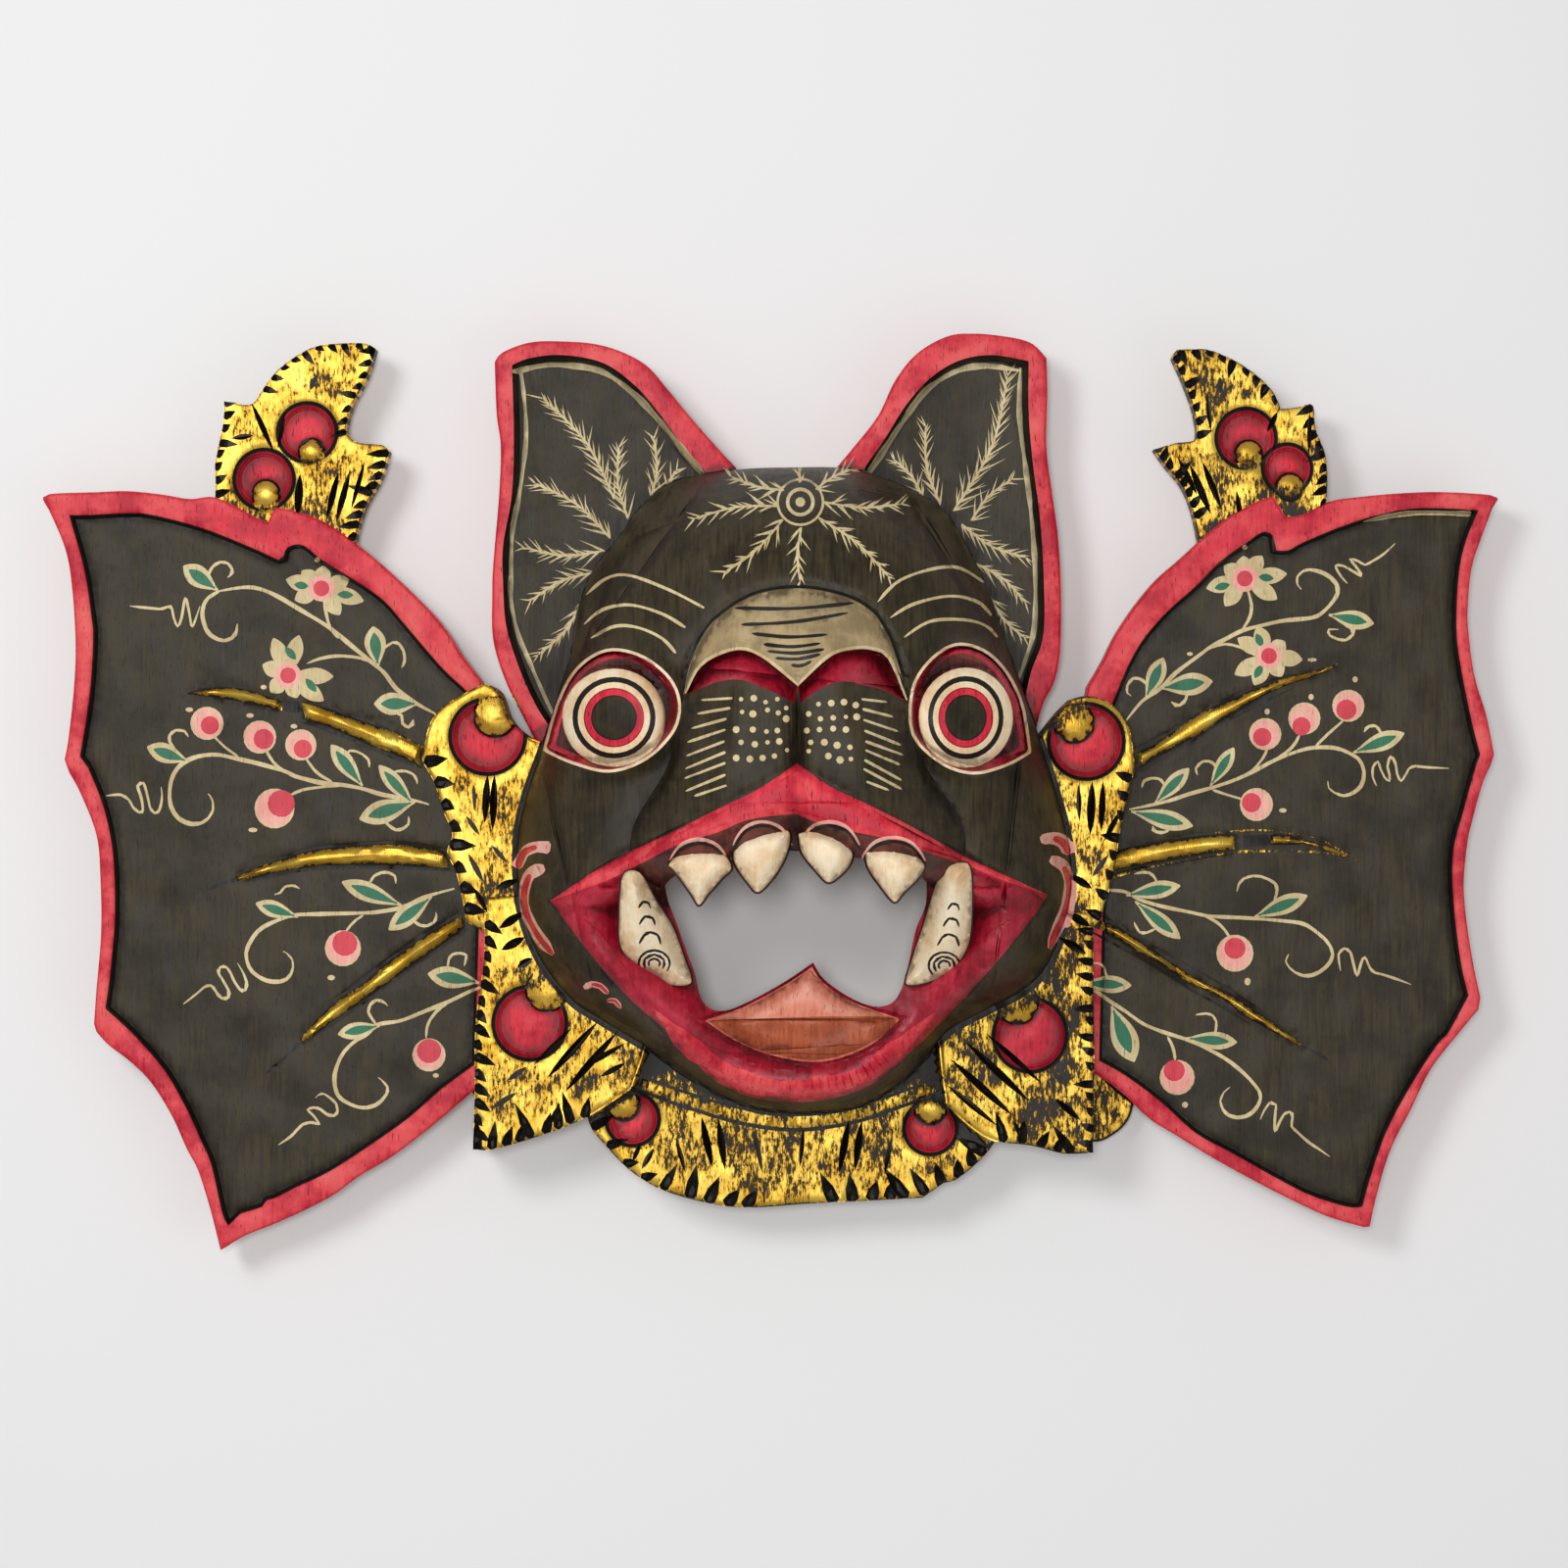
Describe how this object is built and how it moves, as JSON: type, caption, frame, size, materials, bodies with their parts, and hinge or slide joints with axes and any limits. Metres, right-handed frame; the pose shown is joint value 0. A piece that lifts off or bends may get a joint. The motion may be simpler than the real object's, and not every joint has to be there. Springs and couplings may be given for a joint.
{
  "type": "bat mask",
  "caption": "Carved and painted wooden bat mask: hollow face with fanged open mouth, upright ears, gold scroll ornament and spread ribbed wings with gold crests.",
  "frame": {"origin": "centre of the footprint on the surface that the mask lies on, at the flat rim of the hollow", "axes": "+X to the viewer's right along the wings, +Y to the top of the head, +Z from the hollow back out through the face"},
  "size_m": [0.505, 0.3182, 0.1158],
  "materials": {
    "face_paint": "hand-painted black, crimson and ivory over carved light wood, with rubbed gold on the scrolls and leaves",
    "wing_paint": "hand-painted black with a red raised edge, gold ribs and crest and small flowers, over carved light wood"
  },
  "bodies": {
    "root": {"mask_head": "face_paint", "wing_left": "wing_paint", "wing_right": "wing_paint"}
  },
  "joints": []
}
